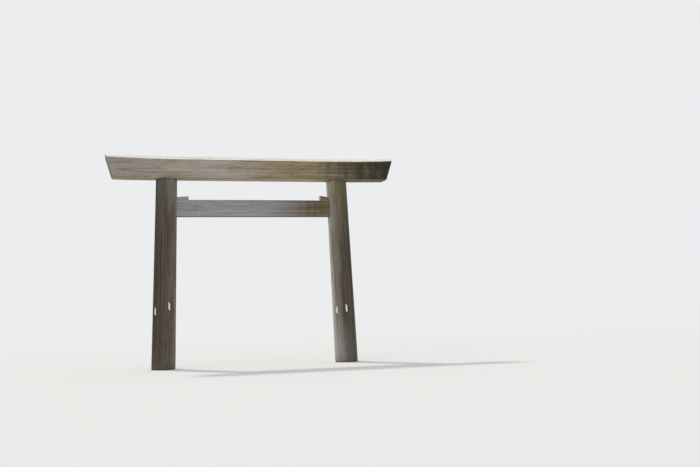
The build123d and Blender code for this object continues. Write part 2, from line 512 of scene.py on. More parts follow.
def make_ground_damp():
    """Damp and green growth that rise from the ground, as uneven masks."""
    inputs = values("Growth Height", "Damp Height")
    bench, given = new_group("ground_damp", inputs, values("Growth", "Damp"))
    place = bench.object_place()
    height = bench.parts(place)["Z"]
    lift = bench.times(bench.cloud(place, DAMP_SCALE, detail=6.0, roughness=0.65), 1.9)

    def risen(top, full):
        """A mask that fades from a share of the way up to an uneven top, and ends there."""
        return bench.fade(bench.math("DIVIDE", height, bench.times(top, lift)), full, 1.0)

    growth = risen(given["Growth Height"], 0.1)
    damp = risen(given["Damp Height"], 0.3)
    return close_group(bench, {"Growth": growth, "Damp": damp})


def make_end_rings():
    """Growth rings and radial shakes across a cut end, round the timber's heart."""
    outputs = values("Ring", "Shake")
    bench, given = new_group("end_rings", {"Place": "vector"}, outputs)
    flat = bench.scaled(given["Place"], FLAT)
    away = bench.distance(flat)
    radius = bench.plus(away, bench.times(bench.cloud(flat, scale=4.0, detail=3.0), 0.07))
    wide = bench.line_noise(radius, WIDE_RING_SCALE, detail=3.0)
    wave = bench.math("SINE", bench.times(radius, NARROW_RING_RADIANS))
    narrow = bench.times(bench.plus(wave, 1.0), 0.22)
    ring = bench.plus(bench.spread(wide, 0.35, 0.7), narrow)

    parts = bench.parts(flat)
    turn = bench.math("ARCTAN2", parts["Y"], parts["X"])
    bent = bench.plus(turn, bench.times(bench.cloud(flat, scale=9.0), 0.25))
    line = bench.off_middle(bench.line_noise(bent, RAY_SCALE, detail=3.0))
    width = bench.math("DIVIDE", 0.0022, bench.plus(away, 0.015))
    shake = bench.fade(bench.math("DIVIDE", line, width), 0.4, 1.2)
    inner = bench.fade(radius, 0.20, 0.36)
    return close_group(bench, {"Ring": bench.share(ring, 0.75), "Shake": bench.times(shake, inner)})


def make_joint_gap():
    """A dark line on a surface round the outline of what is let into it."""
    inputs = values("Half Width", "Low", "High", "Far")
    bench, given = new_group("joint_gap", inputs, values("Mask"))
    place = bench.object_place()
    parts = bench.parts(place)
    outside = bench.math(
        "MAXIMUM",
        bench.minus(bench.math("ABSOLUTE", parts["Y"]), given["Half Width"]),
        bench.minus(parts["Z"], given["High"]),
        bench.minus(given["Low"], parts["Z"]),
        bench.minus(bench.math("ABSOLUTE", parts["X"]), given["Far"]),
    )
    width = bench.plus(bench.times(bench.cloud(place, scale=14.0, detail=3.0), 0.012), 0.001)
    mask = bench.fade(bench.math("DIVIDE", outside, width), 0.5, 1.3)
    return close_group(bench, {"Mask": mask})


CRACK_SHADE = (0.004, 0.003, 0.002, 1.0)

# What timber_material sets unless a piece gives its own. Heights of 1 mm leave an effect out.
TIMBER_AMOUNTS = {
    "brightness": 1.0,
    "greying": 0.3,
    "sun": 0.75,
    "sun_start": -0.05,
    "streaks": 0.4,
    "streak_top": 7.0,
    "streak_reach": 3.0,
    "green": 0.2,
    "growth_height": 0.001,
    "damp_height": 0.001,
}


def socket_name(key):
    """The name that a setting's or an amount's socket has."""
    return key.replace("_", " ").title()


def make_weathered_timber():
    """Bare weathered timber: its colour, its roughness and the height of its surface."""
    inputs = {"Place": "vector"}
    inputs.update({socket_name(key): "colour" for key in TimberLook.__annotations__})
    inputs.update(values(*(socket_name(key) for key in TIMBER_AMOUNTS), "Gap"))
    outputs = {"Color": "colour", "Roughness": "float", "Height": "float"}
    bench, value = new_group("weathered_timber", inputs, outputs)
    share = bench.share

    grain = use_group(bench, "fibre_grain", {"Place": value["Place"]})
    facing = use_group(bench, "facing", {"Break": grain["Band"], "Sun Start": value["Sun Start"]})
    rain = {"Amount": value["Streaks"], "Top": value["Streak Top"], "Reach": value["Streak Reach"]}
    streaks = use_group(bench, "rain_streaks", rain)
    rising = {"Growth Height": value["Growth Height"], "Damp Height": value["Damp Height"]}
    damp = use_group(bench, "ground_damp", rising)
    rings = use_group(bench, "end_rings", {"Place": value["Place"]})
    checks_and_head_shade = bench.carried("check_mask")
    worn = bench.carried("edge_wear")
    cut_end = bench.carried("end_grain")
    bands = share(grain["Band"], 0.8)
    weave = bench.plus(bands, share(grain["Fibre"], 0.8), share(grain["Figure"], 0.25))

    def grained(base, seam, most, least, amount):
        """A colour with another one along the darker bands of the grain."""
        return bench.mix(share(bench.spread(weave, most, least), amount), base, seam)

    # The bare faces: grain, greyed in patches, with green growth and a brightness that each piece
    # sets, which on the posts is painted light and shade
    paint = bench.mix(bench.spread(weave, 0.70, 1.16), value["Dark"], value["Pale"])
    greyed = bench.spread(bench.plus(grain["Patch"], value["Greying"]), 0.62, 1.05)
    grey = grained(value["Grey"], value["Dark"], most=0.95, least=0.70, amount=0.45)
    paint = bench.mix(greyed, paint, grey)
    mossy = bench.plus(grain["Patch"], share(value["Green"], 0.3))
    mossy = share(bench.spread(mossy, 0.50, 0.78), value["Green"])
    paint = bench.mix(mossy, paint, value["Growth"])
    equal = {axis: value["Brightness"] for axis in "XYZ"}
    level = bench.node("ShaderNodeCombineXYZ", equal).outputs[0]
    paint = bench.scaled(paint, level)

    # The side towards the sun, paled as sun-bleached timber with a painted sunlit highlight, the
    # sheltered underside, and rain streaks on all but the underside
    bleached_and_sunlit = bench.mix(0.55, value["Grey"], value["Bleach"])
    bleached_and_sunlit = grained(bleached_and_sunlit, value["Dark"], most=1.10, least=0.80, amount=0.5)
    paint = bench.mix(bench.times(facing["Sunny"], value["Sun"]), paint, bleached_and_sunlit)
    dry = grained(value["Shelter"], value["Dark"], most=1.0, least=0.7, amount=0.5)
    paint = bench.mix(share(facing["Ground"], 0.85), paint, bench.scaled(dry, level))
    exposed = bench.inverse(facing["Ground"])
    paint = bench.mix(bench.times(streaks["Mask"], exposed), paint, value["Stain"])

    # The bleached top, outside the checks and the painted shade on the posts' heads, and the worn
    # edges
    bleached = grained(value["Bleach"], value["Grey"], most=0.95, least=0.70, amount=0.55)
    whole = bench.fade(checks_and_head_shade, 0.0, 0.04)
    paint = bench.mix(bench.times(facing["Sky"], whole), paint, bleached)
    paint = bench.mix(share(worn, 0.40), paint, value["Pale"])

    # The cut ends
    cut = bench.mix(share(rings["Ring"], 0.6), value["Heart"], value["Stain"])
    cut = bench.mix(bench.spread(grain["Patch"], 0.45, 0.65), cut, value["Grey"])
    paint = bench.mix(share(cut_end, 0.85), paint, cut)

    # Growth and damp at the ground
    paint = bench.mix(share(damp["Growth"], 0.3), paint, value["Growth"])
    paint = bench.mix(share(damp["Damp"], 0.75), paint, value["Stain"])

    # Checks, hair cracks and shakes, dark partly of themselves and partly as painted shade in their
    # recesses; painted shade on the posts' heads under the lintel; dark joint gaps
    shake = bench.times(rings["Shake"], cut_end)
    shade = bench.math(
        "MAXIMUM",
        share(checks_and_head_shade, 0.9),
        share(grain["Crack"], 0.65),
        share(shake, 0.85),
        share(value["Gap"], 0.9),
    )
    deep = bench.mix(0.5, value["Stain"], CRACK_SHADE)
    paint = bench.mix(shade, paint, deep)

    rough = bench.plus(share(grain["Fibre"], 0.22), 0.66)
    rough = bench.minus(rough, share(damp["Damp"], 0.25))

    height = bench.plus(grain["Fibre"], share(grain["Band"], 0.6), share(grain["Figure"], 0.5))
    sunk = (share(grain["Crack"], 0.9), bench.plus(value["Gap"], shake))
    height = bench.minus(height, *sunk)
    height = bench.plus(height, share(bench.times(rings["Ring"], cut_end), 0.5))
    return close_group(bench, {"Color": paint, "Roughness": rough, "Height": height})


def make_paper_fibre():
    """Faint mottling of paper and of cord."""
    bench, given = new_group("paper_fibre", values("Scale"), values("Tone", "Height"))
    sockets = {0: bench.object_place(), "Scale": given["Scale"]}
    scaled = bench.node("ShaderNodeVectorMath", sockets, operation="SCALE").outputs[0]
    mottle = bench.cloud(scaled, scale=1.0, detail=6.0, roughness=0.7)
    return close_group(bench, {"Tone": bench.spread(mottle, 0.3, 0.7), "Height": mottle})


GROUP_MAKERS = {
    "fibre_grain": make_fibre_grain,
    "rain_streaks": make_rain_streaks,
    "facing": make_facing,
    "ground_damp": make_ground_damp,
    "end_rings": make_end_rings,
    "joint_gap": make_joint_gap,
    "weathered_timber": make_weathered_timber,
    "paper_fibre": make_paper_fibre,
}


# Materials

def new_material(name):
    """A material with an empty tree, its bench and its shader."""
    material = bpy.data.materials.new(name)
    material.use_nodes = True
    material.node_tree.nodes.clear()
    bench = Bench(material.node_tree)
    shader = bench.node("ShaderNodeBsdfPrincipled")
    bench.node("ShaderNodeOutputMaterial", {"Surface": shader.outputs[0]})
    return material, bench, shader


def opaque(colour_value, shade=1.0):
    """A colour setting with full alpha for a node's socket, darkened where shade is under 1."""
    return (*(value * shade for value in colour_value), 1.0)


Run = namedtuple("Run", "low high first last source axis")
Run.__doc__ = "An amount that changes evenly from first at low to last at high along an axis."


def along_gate(low, high, first, last):
    """An amount that changes between two distances along the gate from its middle."""
    return Run(low, high, first, last, "Object", "X")


def up_gate(low, high, first, last):
    """An amount that changes between two heights above the ground."""
    return Run(low, high, first, last, "Object", "Z")


def across_post(low, high, first, last):
    """An amount that changes between two distances across a post from its axis."""
    return Run(low, high, first, last, "timber_place", "X")


def run_value(bench, run):
    """The value that a run has at each point of a surface."""
    place = bench.object_place() if run.source == "Object" else bench.carried(run.source, "Vector")
    sockets = {
        "Value": bench.parts(place)[run.axis],
        "From Min": run.low,
        "From Max": run.high,
        "To Min": run.first,
        "To Max": run.last,
    }
    return bench.node("ShaderNodeMapRange", sockets).outputs["Result"]


def varied(bench, amount):
    """A single value as it is, or the sum of a list of runs."""
    if not isinstance(amount, list):
        return amount
    total = run_value(bench, amount[0])
    for run in amount[1:]:
        total = bench.plus(total, run_value(bench, run))
    return total


def timber_material(name, look, colours=None, gap=None, **amounts):
    """Bare timber with its own share of greying, rain streaks and green.

    colours gives the ones that differ from the look, and amounts the ones that differ from
    TIMBER_AMOUNTS. An amount is a single value, or a list of runs that are added.
    """
    material, bench, shader = new_material(name)
    sockets = {"Place": bench.carried("timber_place", "Vector")}
    for key in look.__annotations__:
        sockets[socket_name(key)] = opaque(getattr(look, key))
    for key, value in (colours or {}).items():
        sockets[socket_name(key)] = opaque(value)
    for key, amount in {**TIMBER_AMOUNTS, **amounts}.items():
        sockets[socket_name(key)] = varied(bench, amount)
    sockets["Gap"] = use_group(bench, "joint_gap", gap)["Mask"] if gap else 0.0
    wood = use_group(bench, "weathered_timber", sockets)
    bench.feed(shader.inputs["Base Color"], wood["Color"])
    bench.feed(shader.inputs["Roughness"], wood["Roughness"])
    bench.feed(shader.inputs["Normal"], bench.bump(wood["Height"], distance=0.004, amount=0.8))
    shader.inputs["Specular IOR Level"].default_value = 0.25
    return material


def paper_material(white):
    """Matt white paper, a little darker along its folds."""
    material, bench, shader = new_material("folded_paper")
    fibre = use_group(bench, "paper_fibre", {"Scale": 160.0})
    paint = bench.mix(fibre["Tone"], opaque(white, shade=0.86), opaque(white))
    crease = bench.times(bench.carried("crease"), 0.35)
    paint = bench.mix(crease, paint, opaque(white, shade=0.6))
    bench.feed(shader.inputs["Base Color"], paint)
    bench.feed(shader.inputs["Normal"], bench.bump(fibre["Height"], distance=0.0004, amount=0.5))
    shader.inputs["Roughness"].default_value = 0.85
    return material


def cord_material(straw):
    """Twisted plant fibre."""
    material, bench, shader = new_material("plant_cord")
    fibre = use_group(bench, "paper_fibre", {"Scale": 700.0})
    paint = bench.mix(fibre["Tone"], opaque(straw, shade=0.5), opaque(straw))
    bench.feed(shader.inputs["Base Color"], paint)
    bench.feed(shader.inputs["Normal"], bench.bump(fibre["Height"], distance=0.0006, amount=0.7))
    shader.inputs["Roughness"].default_value = 0.9
    return material


# Drying checks

# How deep a check is beside its middle, by the distance as a share of half its width
CHECK_SECTION = {
    -1.7: 0.0,
    -1.0: 0.06,
    -0.55: 0.35,
    -0.2: 0.9,
    0.0: 1.0,
    0.2: 0.9,
    0.55: 0.35,
    1.0: 0.06,
    1.7: 0.0,
}
CHECK_TAPER = 0.55
CHECK_OPENING = 0.78
CHECK_FLUTTER = 0.4
CHECK_WANDER = 0.35
CHECK_DRAWS = 6

# What takes a place in the noise to the middle of its cell
CELL_MIDDLE = Vector((0.5, 0.5, 0.5))

# How often the opening and the line of a check vary: times a metre across its face and along it
FLUTTER_ACROSS = 9.0
FLUTTER_ALONG = 2.3
WANDER_ACROSS = 5.0
WANDER_ALONG = 1.4

# The least width of a check where it closes, and the least size and depth that one is drawn
# with, as shares of the full ones
CHECK_LEAST_WIDTH = 0.25
CHECK_LEAST_SIZE = 0.35
CHECK_LEAST_DEPTH = 0.6

# Distances that other checks and other columns of points keep, in widths of the check
CHECK_CLEARANCE = 3.0
COLUMN_CLEARANCE = 1.6

Column = namedtuple("Column", "face place check sideways")
Column.__doc__ = "A line of points along a face, with its check and its place beside it, if any."


def between(low, high, share):
    """The value at a share of the way from low to high."""
    return low + (high - low) * share


class Check:
    """A drying check: a split along the grain that opens and closes over its length."""

    def __init__(self, face, at, start, end, width, depth):
        self.face = face
        self.at = at
        self.start = start
        self.end = end
        self.width = width
        self.depth = depth

    def opening(self, along):
        """How far the check is open at a place along the timber, from 0 to 1."""
        share = (along - self.start) / (self.end - self.start)
        if not 0.0 < share < 1.0:
            return 0.0
        cell = Vector((self.at * FLUTTER_ACROSS, self.face, along * FLUTTER_ALONG))
        swell = math.sin(math.pi * share) ** CHECK_TAPER
        return max(0.0, swell * (CHECK_OPENING + CHECK_FLUTTER * noise.noise(cell)))

    def place(self, sideways, along, opening):
        """Where a column of points beside the check lies across its face."""
        cell = Vector((along * WANDER_ALONG, self.at * WANDER_ACROSS, self.face))
        wander = CHECK_WANDER * noise.noise(cell)
        width = self.width * between(CHECK_LEAST_WIDTH, 1.0, opening)
        return self.at + wander * self.width + sideways * width / 2


def draw_checks(seed, faces, number, along_low, along_high, width, depth, lengths):
    """Checks scattered over the faces of a timber, which are given as face: (low, high) across it.

    They lie from along_low to along_high, which may be past the timber's ends, and lengths
    gives the shortest and the longest of them as shares of that distance.
    """
    checks = []
    names = list(faces)
    total = along_high - along_low
    for index in range(number):
        places = [Vector((seed, index, step)) + CELL_MIDDLE for step in range(CHECK_DRAWS)]
        draw = [abs(noise.cell(place)) for place in places]
        face = names[int(draw[0] * len(names)) % len(names)]
        at = between(*faces[face], draw[1])
        near = CHECK_CLEARANCE * width
        if any(other.face == face and abs(other.at - at) < near for other in checks):
            continue
        reach = total * between(*lengths, draw[2])
        start = along_low + (total - reach) * draw[3]
        size = between(CHECK_LEAST_SIZE, 1.0, draw[4])
        deep = depth * size * between(CHECK_LEAST_DEPTH, 1.0, draw[5])
        checks.append(Check(face, at, start, start + reach, width * size, deep))
    return checks


def spread_columns(lengths, spacing, checks):
    """Columns of points round a timber whose faces have these lengths, close beside its checks."""
    columns = []
    for face, face_length in enumerate(lengths):
        own = [check for check in checks if check.face == face]
        steps = max(1, round(face_length / spacing))
        for step in range(steps):
            place = face_length * step / steps
            clear = all(abs(place - c.at) > COLUMN_CLEARANCE * c.width for c in own)
            if step == 0 or clear:
                columns.append(Column(face, place, None, 0.0))
        for check in own:
            for sideways in CHECK_SECTION:
                place = check.at + sideways * check.width / 2
                columns.append(Column(face, place, check, sideways))
    return sorted(columns, key=lambda column: (column.face, column.place))


# Timber meshes

# The sizes of the rings of points that close an end, as shares of its outline
END_RINGS = (0.985, 0.9, 0.75, 0.55, 0.35, 0.18, 0.07)

# How deep a fully open check is at a timber's end, unless the timber has its own depth
END_DEPTH = 0.01


def ring_faces(low, high, size):
    """Faces between two closed rings of points, given the first point of each."""
    faces = []
    for number in range(size):
        following = (number + 1) % size
        faces.append((low + number, low + following, high + following, high + number))
    return faces


class Skin:
    """The surface of a timber: points, faces, and what each point carries."""

    def __init__(self, width):
        self.width = width
        self.points = []
        self.faces = []
        self.check_mask = []
        self.edge_wear = []
        self.end_grain = []

    def add(self, point, check=0.0, wear=0.0, end=0.0):
        """Adds a point: how open its check is, how worn its edge is, and 1 on a cut end."""
        self.points.append(point)
        self.check_mask.append(check)
        self.edge_wear.append(wear)
        self.end_grain.append(end)

    def close_end(self, first, inner, depth, flip):
        """Closes the end whose outline starts at first, split where its checks reach it.

        inner is the first point of the next outline, and flip turns the faces over.
        """
        width = self.width
        rim = self.points[first:first + width]
        split = self.check_mask[first:first + width]
        middle = sum(rim, Vector()) / width
        inward = (self.points[inner] - rim[0]).normalized()
        outer = first
        for share in END_RINGS:
            start = len(self.points)
            for number in range(width):
                fade = split[number] * share
                level = middle + (rim[number] - middle) * share
                self.add(level + inward * depth * fade, check=fade, end=1.0)
            for number in range(width):
                following = (number + 1) % width
                quad = (outer + number, start + number, start + following, outer + following)
                self.faces.append(quad if flip else quad[::-1])
            outer = start
        centre = len(self.points)
        self.add(middle, end=1.0)
        for number in range(width):
            triangle = (outer + number, centre, outer + (number + 1) % width)
            self.faces.append(triangle if flip else triangle[::-1])

    def mesh(self, name, local):
        """The finished mesh, with each point's place in the timber's own axes."""
        mesh = bpy.data.meshes.new(name)
        mesh.from_pydata(self.points, [], self.faces)
        mesh.update()
        for label in ("check_mask", "edge_wear", "end_grain"):
            layer = mesh.attributes.new(label, "FLOAT", "POINT")
            layer.data.foreach_set("value", getattr(self, label))
        places = [part for point in self.points for part in local(point)]
        layer = mesh.attributes.new("timber_place", "FLOAT_VECTOR", "POINT")
        layer.data.foreach_set("vector", places)
        mesh.shade_smooth()
        return mesh


def same_distance(station):
    """The distance along the grain of a station that is given as a distance."""
    return station


def timber_mesh(
    name, stations, columns, surface, local, relief, along=same_distance, end_depth=END_DEPTH
):
    """A timber built from sections, one for each station, with a point for each column.

    surface gives a point and its outward direction for a face, a place across it and a station,
    local gives a point in the timber's own axes, relief gives how far a point lies below the
    clean surface and how worn its edge is, along gives the distance along the grain, and
    end_depth is the depth of the checks where they reach an end.
    """
    width = len(columns)
    skin = Skin(width)
    for station in stations:
        distance = along(station)
        for column in columns:
            place = column.place
            check = column.check
            depth = 0.0
            opening = 0.0
            if check is not None:
                opening = check.opening(distance) * CHECK_SECTION[column.sideways]
                place = check.place(column.sideways, distance, check.opening(distance))
                depth = check.depth * opening
            point, outward = surface(column.face, place, station)
            sunk, wear = relief(point, column.face, place)
            skin.add(point - outward * (depth + sunk), check=opening, wear=wear)
    last = (len(stations) - 1) * width
    for low in range(0, last, width):
        skin.faces += ring_faces(low, low + width, width)
    skin.close_end(0, width, end_depth, flip=True)
    skin.close_end(last, last - width, end_depth, flip=False)
    return skin.mesh(name, local)


def add_piece(mesh, material, node):
    """Puts a finished mesh in the scene under its own name, in place of its CAD node."""
    mesh.materials.append(material)
    piece = bpy.data.objects.new(mesh.name, mesh)
    bpy.context.scene.collection.objects.link(piece)
    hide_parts(node)
    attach(piece, "root")
    return piece


def spaced(low, high, steps):
    """Evenly spaced values from low to high."""
    return [low + (high - low) * number / (steps - 1) for number in range(steps)]


def ripple(point, scale, depth):
    """A gentle unevenness of a surface, from 0 to its depth."""
    value = noise.noise(Vector((point.x * scale[0], point.y * scale[1], point.z * scale[2])))
    return depth * (0.5 + 0.5 * value)


# Flat-faced timbers that run along X, whose odd faces are the long ones and even ones arrises

def softened(corners, arris):
    """Corners of a section, each given as two points so that its arris is taken off."""
    made = []
    for number, corner in enumerate(corners):
        before = corners[number - 1]
        after = corners[(number + 1) % len(corners)]
        made.append(corner + (before - corner).normalized() * arris)
        made.append(corner + (after - corner).normalized() * arris)
    return made


def face_lengths(corners, arris):
    """Lengths of the faces of a section with its arrises taken off."""
    points = softened(corners, arris)
    return [(points[(n + 1) % len(points)] - points[n]).length for n in range(len(points))]


def faceted_surface(corners_at, lengths, arris, sunk_stations=()):
    """The surface function of a timber with flat faces, drawn in by an arris at some stations."""

    def surface(face, place, station):
        corners = softened(corners_at(station), arris)
        start = corners[face]
        edge = corners[(face + 1) % len(corners)] - start
        share = place / lengths[face]
        outward = Vector((0.0, edge.z, -edge.y)).normalized()
        point = start + edge * share
        if station in sunk_stations:
            point = point - outward * arris
        return point, outward

    return surface


def faceted_relief(lengths, edge_width, worn_scale, worn_depth, hewn_scale=None, hewn_depth=0.0):
    """The relief function of a timber with flat faces, worn along its edges and hewn all over."""

    def relief(point, face, place):
        near = min(place, lengths[face] - place) if face % 2 else 0.0
        edge = max(0.0, 1.0 - near / edge_width)
        worn = edge**2 * ripple(point, worn_scale, worn_depth)
        hewn = ripple(point, hewn_scale, hewn_depth) if hewn_scale else 0.0
        return hewn + worn, edge

    return relief


def place_from(heart_y, heart_z, shift):
    """A function that gives a point's place from a timber's heart, with its grain shifted."""

    def local(point):
        return point.y - heart_y, point.z - heart_z, point.x + shift

    return local


def check_room(lengths, faces, margin):
    """The part of each face that checks may lie in, clear of its edges."""
    return {face: (margin, lengths[face] - margin) for face in faces}


# Posts

POST_SEEDS = {"left": 11, "right": 37}

# The least check mask on a post's head, which paints shade where the lintel covers it
HEAD_SHADE = 0.30

# The share of a post's girth on each side of its seam that checks keep clear of
SEAM_SHARE = 0.09

# How far the checks turn round a post, in radians a metre, how far they wander from that in
# radians, and how often that varies, in times a metre
POST_TWIST = 0.012
POST_TWIST_WANDER = 0.01
POST_WANDER_SCALE = 0.6

# How far each post's grain is moved along it, so that the two differ
POST_GRAIN_SHIFT = 7.0

# The height that the decay of a post's foot reaches
DECAY_HEIGHT = 0.22

# Brightness runs paint light and shade on the posts: both darker than the other timbers, the left
# one most, and each lighter across towards the middle of the gate and towards its top
POST_LOOKS = {
    "left": {
        "brightness": [
            across_post(-0.33, 0.30, 0.21, 0.66),
            up_gate(4.2, 5.8, 0.0, 0.08),
            up_gate(0.0, 0.9, 0.16, 0.0),
        ],
        "greying": [up_gate(4.3, 5.8, 0.04, 0.50), across_post(0.0, 0.33, 0.0, 0.34)],
        "sun": 0.70,
        "sun_start": 0.36,
        "streaks": 0.40,
        "green": 0.10,
    },
    "right": {
        "brightness": [across_post(-0.30, -0.06, 0.90, 0.46), up_gate(3.9, 5.7, 0.0, 0.66)],
        "greying": [up_gate(0.3, 1.7, 0.44, 0.0), across_post(-0.3, 0.1, 0.26, 0.06)],
        "sun": 0.90,
        "streaks": [across_post(-0.10, 0.30, 0.25, 0.55)],
        "green": [across_post(-0.15, 0.20, 0.10, 0.50), up_gate(3.8, 5.6, 0.0, 0.45)],
    },
}


def post_mesh(side_name, sizes):
    """One round post with checks, hewn unevenness and a worn foot."""
    side = SIDES[side_name]
    middle_radius = post_radius(SEAT_HEIGHT / 2)
    girth = 2 * math.pi * middle_radius
    clear = SEAM_SHARE * girth
    checks = draw_checks(
        seed=POST_SEEDS[side_name],
        faces={0: (clear, girth - clear)},
        number=sizes.checks,
        along_low=-0.4,
        along_high=SEAT_HEIGHT + 0.5,
        width=sizes.check_width,
        depth=sizes.check_depth,
        lengths=(0.15, 0.65),
    )

    def surface(face, place, height):
        turn = place / middle_radius + (math.pi if side > 0 else 0.0)
        wander = noise.noise(Vector((0.0, side, height * POST_WANDER_SCALE)))
        turn += POST_TWIST * height + POST_TWIST_WANDER * wander
        radius = post_radius(height)
        if height == SEAT_HEIGHT:
            radius -= HEAD_BREAK
        outward = Vector((math.cos(turn), math.sin(turn), 0.0))
        return Vector((side * post_axis(height), 0.0, height)) + outward * radius, outward

    def local(point):
        shift = POST_GRAIN_SHIFT * side
        return point.x - side * post_axis(point.z), point.y, point.z + shift

    def relief(point, face, place):
        hewn = ripple(point, scale=(5.0, 5.0, 0.9), depth=0.0022)
        decay = max(0.0, 1.0 - point.z / DECAY_HEIGHT) ** 2
        eaten = decay * ripple(point, scale=(22.0, 22.0, 9.0), depth=0.009)
        return hewn + eaten, 0.0

    mesh = timber_mesh(
        f"post_{side_name}_timber",
        stations=spaced(0.0, BREAK_HEIGHT, sizes.rows) + [SEAT_HEIGHT],
        columns=spread_columns([girth], sizes.spacing, checks),
        surface=surface,
        local=local,
        relief=relief,
    )
    # Painted shade on the post's head, where the lintel covers it, carried by the check mask
    check_and_shade_data = mesh.attributes["check_mask"].data
    for vertex in mesh.vertices:
        if vertex.co.z > BREAK_HEIGHT - SAME_PLACE:
            check_and_shade_data[vertex.index].value = max(check_and_shade_data[vertex.index].value, HEAD_SHADE)
    return mesh


class GATE_OT_posts(bpy.types.Operator):
    """Build the two weathered round posts"""

    bl_idname = "gate.posts"
    bl_label = "Posts"

    def execute(self, context):
        settings = context.scene.gate
        sizes = settings.post
        beam_outline = {
            "Half Width": BEAM_HIGH.y,
            "Low": BEAM_LOW.z,
            "High": BEAM_HIGH.z,
            "Far": BEAM_HIGH.x,
        }
        for side_name in SIDES:
            material = timber_material(
                f"post_{side_name}_timber",
                settings.timber,
                colours={"dark": sizes.dark, "pale": sizes.pale, "grey": sizes.grey},
                gap=beam_outline,
                streak_top=SEAT_HEIGHT,
                streak_reach=3.5,
                growth_height=0.34,
                damp_height=0.045,
                **POST_LOOKS[side_name],
            )
            mesh = post_mesh(side_name, sizes)
            add_piece(mesh, material, f"post_{side_name}")
        return {"FINISHED"}


# Lintel

# The corners of its section in order, and the side of the ridge that each lies on
LINTEL_CORNERS = {
    "bottom_front": -1,
    "bottom_back": 1,
    "eave_back": 1,
    "ridge": 0,
    "eave_front": -1,
}

# Steps to find where a corner meets the slanted end, as its height depends on that place
RAKE_STEPS = 3


def lintel_half_length(sizes):
    """Distance from the middle of the gate to the tip of the ridge."""
    return post_axis(SEAT_HEIGHT) + sizes.overhang


def end_lift(place, lift, start, sizes):
    """How far a curved edge of the lintel has risen at a distance from the middle."""
    past = abs(place) - start
    if past <= 0.0:
        return 0.0
    run = lintel_half_length(sizes) - start
    radius = (run**2 + lift**2) / (2 * lift)
    return radius - math.sqrt(radius**2 - past**2)


def lintel_corner(name, place, sizes):
    """Depth and height of one of the lintel's five corners at a distance from the middle."""
    side = LINTEL_CORNERS[name]
    bottom_half = sizes.bottom_width / 2
    eave_half = sizes.eave_width / 2
    flare = (eave_half - bottom_half) / sizes.face_height
    if name.startswith("bottom"):
        under_start = post_axis(SEAT_HEIGHT) + sizes.straight_overhang
        under = SEAT_HEIGHT + end_lift(place, sizes.underside_lift, under_start, sizes)
        return side * (bottom_half + flare * (under - SEAT_HEIGHT)), under
    top_start = post_axis(SEAT_HEIGHT) - sizes.curve_inside
    eave = SEAT_HEIGHT + sizes.face_height + end_lift(place, sizes.eave_lift, top_start, sizes)
    ridge = SEAT_HEIGHT + sizes.face_height + sizes.roof_rise
    ridge += end_lift(place, sizes.ridge_lift, top_start, sizes)
    if name == "ridge":
        return 0.0, ridge
    fall = (ridge - eave) / eave_half
    half = (bottom_half + flare * (ridge - SEAT_HEIGHT)) / (1.0 + flare * fall)
    return side * half, ridge - fall * half


def lintel_corners(station, sizes):
    """The lintel's five corners at a station from -1 to 1, where 1 is its slanted end."""
    ridge_end = SEAT_HEIGHT + sizes.face_height + sizes.roof_rise + sizes.ridge_lift
    rake = math.tan(sizes.end_rake)
    tip = LINTEL_HIGH.x
    corners = []
    for name in LINTEL_CORNERS:
        place = station * tip
        for _ in range(RAKE_STEPS):
            height = lintel_corner(name, place, sizes)[1]
            place = station * (tip - rake * (ridge_end - height))
        depth, height = lintel_corner(name, place, sizes)
        corners.append(Vector((place, depth, height)))
    return corners


def lintel_mesh(sizes):
    """The five-sided lintel with checks along its faces and split, slanted ends."""
    lengths = face_lengths(lintel_corners(0.0, sizes), sizes.arris)
    checks = draw_checks(
        seed=5,
        faces=check_room(lengths, (3, 5, 7, 9), margin=0.05),
        number=26,
        along_low=-LINTEL_HIGH.x - 0.4,
        along_high=LINTEL_HIGH.x + 0.4,
        width=0.009,
        depth=0.020,
        lengths=(0.08, 0.42),
    )
    inner = 1.0 - sizes.arris / LINTEL_HIGH.x
    return timber_mesh(
        "lintel_timber",
        stations=[-1.0] + spaced(-inner, inner, sizes.rows) + [1.0],
        columns=spread_columns(lengths, sizes.spacing, checks),
        surface=faceted_surface(
            lambda station: lintel_corners(station, sizes),
            lengths,
            sizes.arris,
            sunk_stations=(-1.0, 1.0),
        ),
        local=place_from(heart_y=0.03, heart_z=6.21, shift=31.0),
        relief=faceted_relief(
            lengths,
            edge_width=0.03,
            worn_scale=(3.5, 9.0, 9.0),
            worn_depth=0.007,
            hewn_scale=(0.8, 5.0, 5.0),
            hewn_depth=0.0020,
        ),
        along=lambda station: station * LINTEL_HIGH.x,
        end_depth=0.05,
    )


class GATE_OT_lintel(bpy.types.Operator):
    """Build the weathered five-sided lintel"""

    bl_idname = "gate.lintel"
    bl_label = "Lintel"

    def execute(self, context):
        settings = context.scene.gate
        material = timber_material(
            "lintel_timber",
            settings.timber,
            brightness=[
                along_gate(-3.6, -0.8, -0.18, 0.0),
                along_gate(1.8, 3.4, 1.30, 0.62),
                along_gate(3.7, 4.5, 0.0, -0.18),
            ],
            greying=[along_gate(-1.2, 1.6, 0.46, 0.08)],
            streaks=[along_gate(1.6, 4.2, 0.14, 1.0)],
            streak_top=SEAT_HEIGHT + settings.lintel.face_height,
            streak_reach=0.9,
            green=[along_gate(0.8, 3.8, 0.12, 0.60)],
        )
        add_piece(lintel_mesh(settings.lintel), material, "lintel")
        return {"FINISHED"}


# Tie beam and wedges

WEDGE_SEEDS = {"left": 3, "right": 8}
WEDGE_SPACING = 0.012
WEDGE_ROWS = 24

# The shares of a wedge's length at which its butt is rounded and its even rows start
BUTT_STATIONS = [0.0, 0.008]
FIRST_ROW = 0.03


def upright_section(place, low, high, top):
    """The corners of an upright section at a place along the gate, as high as its top."""
    return [
        Vector((place, low.y, low.z)),
        Vector((place, high.y, low.z)),
        Vector((place, high.y, top)),
        Vector((place, low.y, top)),
    ]


